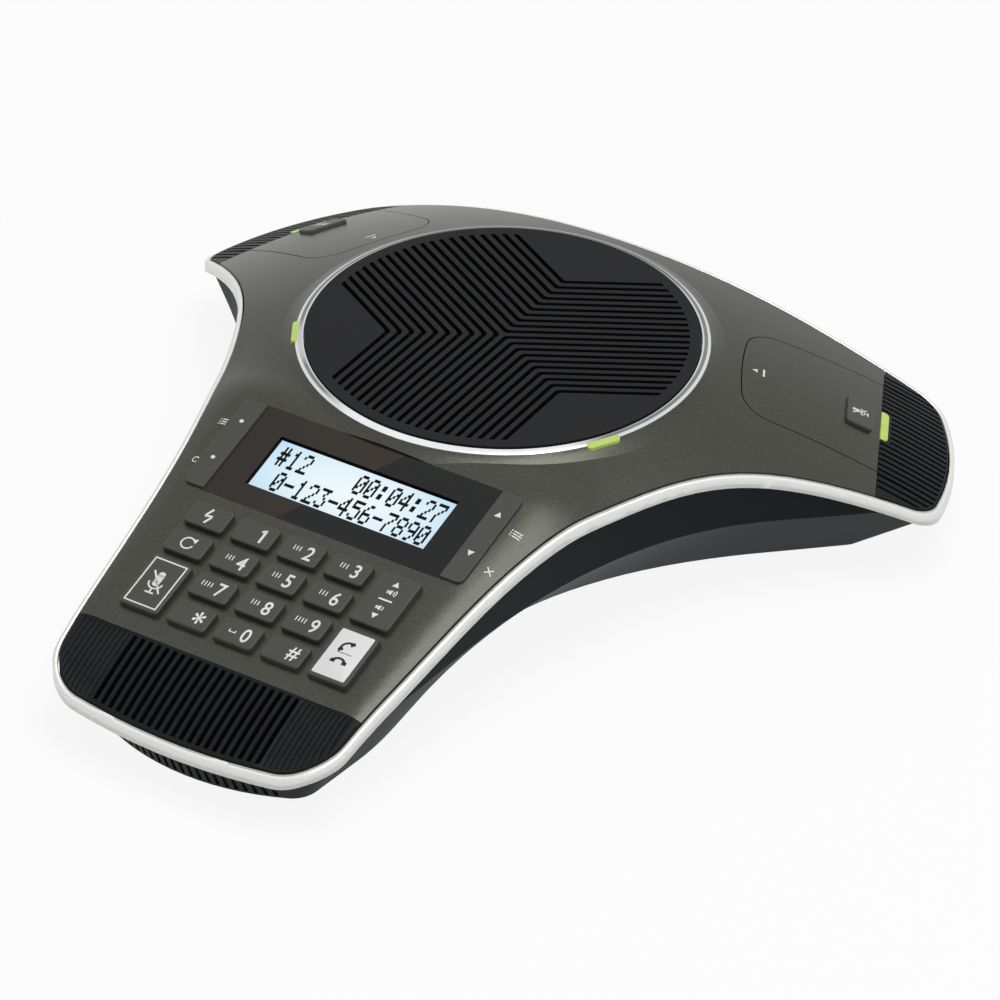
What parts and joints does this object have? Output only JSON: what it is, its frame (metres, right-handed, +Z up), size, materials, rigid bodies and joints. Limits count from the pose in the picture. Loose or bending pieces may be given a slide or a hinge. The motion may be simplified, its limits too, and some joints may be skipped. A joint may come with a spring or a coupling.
{
  "type": "conference phone",
  "caption": "Three-armed table conference phone with a round speaker grille, sloping keypad arm with display, and lift-out wireless microphone units.",
  "frame": {"origin": "on the table under the middle of the whole phone", "axes": "+Z up, -Y towards the user along the keypad arm, +X to the right"},
  "size_m": [0.269, 0.2724, 0.06],
  "materials": {
    "cover_grey": "satin metallic paint",
    "housing_dark": "fine matt texture",
    "grille_black": "matt",
    "rim_silver": "satin silver",
    "chrome": "bright",
    "key_dark": "satin",
    "talk_key": "satin white face on a dark key",
    "light_green": "translucent",
    "window_dark": "gloss",
    "display": "lit",
    "rubber": "matt",
    "sheet_rubber": "matt",
    "board_green": "solder mask",
    "steel": "plain",
    "gold": "plated",
    "paper": "matt",
    "cell_wrap": "shrink wrap"
  },
  "bodies": {
    "console": {"lower_housing": "housing_dark", "upper_cover": "cover_grey", "rim_trim": "rim_silver", "front_grille": "grille_black", "speaker_grille": "grille_black", "chrome_ring": "chrome", "ring_lights": "light_green", "display_window": "window_dark", "display_module": "display", "keypad_sheet": "sheet_rubber", "main_board": "board_green", "speaker_frame": "steel", "speaker_cone": "paper", "line_socket": "grille_black", "power_socket": "grille_black", "front_microphone": "steel", "ballast_plate": "steel", "feet": "rubber", "housing_screws": "steel", "arm_end_right": "grille_black", "arm_end_left": "grille_black", "bay_tray_right": "housing_dark", "bay_tray_left": "housing_dark", "charge_pins_right": "gold", "charge_pins_left": "gold"},
    "key_left_top_body": {"key_left_top": "key_dark"},
    "key_left_second_body": {"key_left_second": "key_dark"},
    "key_mute_all_body": {"key_mute_all": "key_dark"},
    "key_1_body": {"key_1": "key_dark"},
    "key_2_body": {"key_2": "key_dark"},
    "key_3_body": {"key_3": "key_dark"},
    "key_4_body": {"key_4": "key_dark"},
    "key_5_body": {"key_5": "key_dark"},
    "key_6_body": {"key_6": "key_dark"},
    "key_7_body": {"key_7": "key_dark"},
    "key_8_body": {"key_8": "key_dark"},
    "key_9_body": {"key_9": "key_dark"},
    "key_star_body": {"key_star": "key_dark"},
    "key_0_body": {"key_0": "key_dark"},
    "key_hash_body": {"key_hash": "key_dark"},
    "key_talk_body": {"key_talk": "talk_key"},
    "volume_rocker_body": {"volume_rocker": "key_dark"},
    "rocker_bar_left_body": {"rocker_bar_left": "key_dark"},
    "rocker_bar_right_body": {"rocker_bar_right": "key_dark"},
    "microphone_unit_right": {"unit_cover_right": "cover_grey", "unit_grille_right": "grille_black", "unit_case_right": "housing_dark", "unit_light_right": "light_green", "unit_contacts_right": "gold", "unit_cells_right": "cell_wrap", "unit_board_right": "board_green"},
    "mute_key_right_body": {"mute_key_right": "key_dark"},
    "microphone_unit_left": {"unit_cover_left": "cover_grey", "unit_grille_left": "grille_black", "unit_case_left": "housing_dark", "unit_light_left": "light_green", "unit_contacts_left": "gold", "unit_cells_left": "cell_wrap", "unit_board_left": "board_green"},
    "mute_key_left_body": {"mute_key_left": "key_dark"}
  },
  "joints": [
    {"name": "key_left_top_press", "type": "slide", "parent": "console", "child": "key_left_top_body", "axis": [0, 0.2622, -0.965], "range_m": [0, 0.0008], "stiffness_N_per_m": 300},
    {"name": "key_left_second_press", "type": "slide", "parent": "console", "child": "key_left_second_body", "axis": [0, 0.2622, -0.965], "range_m": [0, 0.0008], "stiffness_N_per_m": 300},
    {"name": "key_mute_all_press", "type": "slide", "parent": "console", "child": "key_mute_all_body", "axis": [0, 0.2622, -0.965], "range_m": [0, 0.0008], "stiffness_N_per_m": 450},
    {"name": "key_1_press", "type": "slide", "parent": "console", "child": "key_1_body", "axis": [0, 0.2622, -0.965], "range_m": [0, 0.0008], "stiffness_N_per_m": 300},
    {"name": "key_2_press", "type": "slide", "parent": "console", "child": "key_2_body", "axis": [0, 0.2622, -0.965], "range_m": [0, 0.0008], "stiffness_N_per_m": 300},
    {"name": "key_3_press", "type": "slide", "parent": "console", "child": "key_3_body", "axis": [0, 0.2622, -0.965], "range_m": [0, 0.0008], "stiffness_N_per_m": 300},
    {"name": "key_4_press", "type": "slide", "parent": "console", "child": "key_4_body", "axis": [0, 0.2622, -0.965], "range_m": [0, 0.0008], "stiffness_N_per_m": 300},
    {"name": "key_5_press", "type": "slide", "parent": "console", "child": "key_5_body", "axis": [0, 0.2622, -0.965], "range_m": [0, 0.0008], "stiffness_N_per_m": 300},
    {"name": "key_6_press", "type": "slide", "parent": "console", "child": "key_6_body", "axis": [0, 0.2622, -0.965], "range_m": [0, 0.0008], "stiffness_N_per_m": 300},
    {"name": "key_7_press", "type": "slide", "parent": "console", "child": "key_7_body", "axis": [0, 0.2622, -0.965], "range_m": [0, 0.0008], "stiffness_N_per_m": 300},
    {"name": "key_8_press", "type": "slide", "parent": "console", "child": "key_8_body", "axis": [0, 0.2622, -0.965], "range_m": [0, 0.0008], "stiffness_N_per_m": 300},
    {"name": "key_9_press", "type": "slide", "parent": "console", "child": "key_9_body", "axis": [0, 0.2622, -0.965], "range_m": [0, 0.0008], "stiffness_N_per_m": 300},
    {"name": "key_star_press", "type": "slide", "parent": "console", "child": "key_star_body", "axis": [0, 0.2622, -0.965], "range_m": [0, 0.0008], "stiffness_N_per_m": 300},
    {"name": "key_0_press", "type": "slide", "parent": "console", "child": "key_0_body", "axis": [0, 0.2622, -0.965], "range_m": [0, 0.0008], "stiffness_N_per_m": 300},
    {"name": "key_hash_press", "type": "slide", "parent": "console", "child": "key_hash_body", "axis": [0, 0.2622, -0.965], "range_m": [0, 0.0008], "stiffness_N_per_m": 300},
    {"name": "key_talk_press", "type": "slide", "parent": "console", "child": "key_talk_body", "axis": [0, 0.2622, -0.965], "range_m": [0, 0.0008], "stiffness_N_per_m": 450},
    {"name": "volume_rock", "type": "hinge", "parent": "console", "child": "volume_rocker_body", "pos_m": [0.0332, -0.06937, 0.04092], "axis": [1, 0, 0], "range_deg": [-2, 2], "stiffness_Nm_per_rad": 0.05},
    {"name": "bar_left_rock", "type": "hinge", "parent": "console", "child": "rocker_bar_left_body", "pos_m": [-0.0459, -0.03642, 0.04987], "axis": [1, 0, 0], "range_deg": [-1.2, 1.2], "stiffness_Nm_per_rad": 0.08},
    {"name": "bar_right_rock", "type": "hinge", "parent": "console", "child": "rocker_bar_right_body", "pos_m": [0.0459, -0.03642, 0.04987], "axis": [1, 0, 0], "range_deg": [-1.2, 1.2], "stiffness_Nm_per_rad": 0.08},
    {"name": "unit_right_lift", "type": "slide", "parent": "console", "child": "microphone_unit_right", "axis": [0, 0, 1], "range_m": [0, 0.06]},
    {"name": "mute_right_press", "type": "slide", "parent": "microphone_unit_right", "child": "mute_key_right_body", "axis": [-0.4008, -0.2007, -0.8939], "range_m": [0, 0.0008], "stiffness_N_per_m": 400},
    {"name": "unit_left_lift", "type": "slide", "parent": "console", "child": "microphone_unit_left", "axis": [0, 0, 1], "range_m": [0, 0.06]},
    {"name": "mute_left_press", "type": "slide", "parent": "microphone_unit_left", "child": "mute_key_left_body", "axis": [0.4008, -0.2007, -0.8939], "range_m": [0, 0.0008], "stiffness_N_per_m": 400}
  ]
}
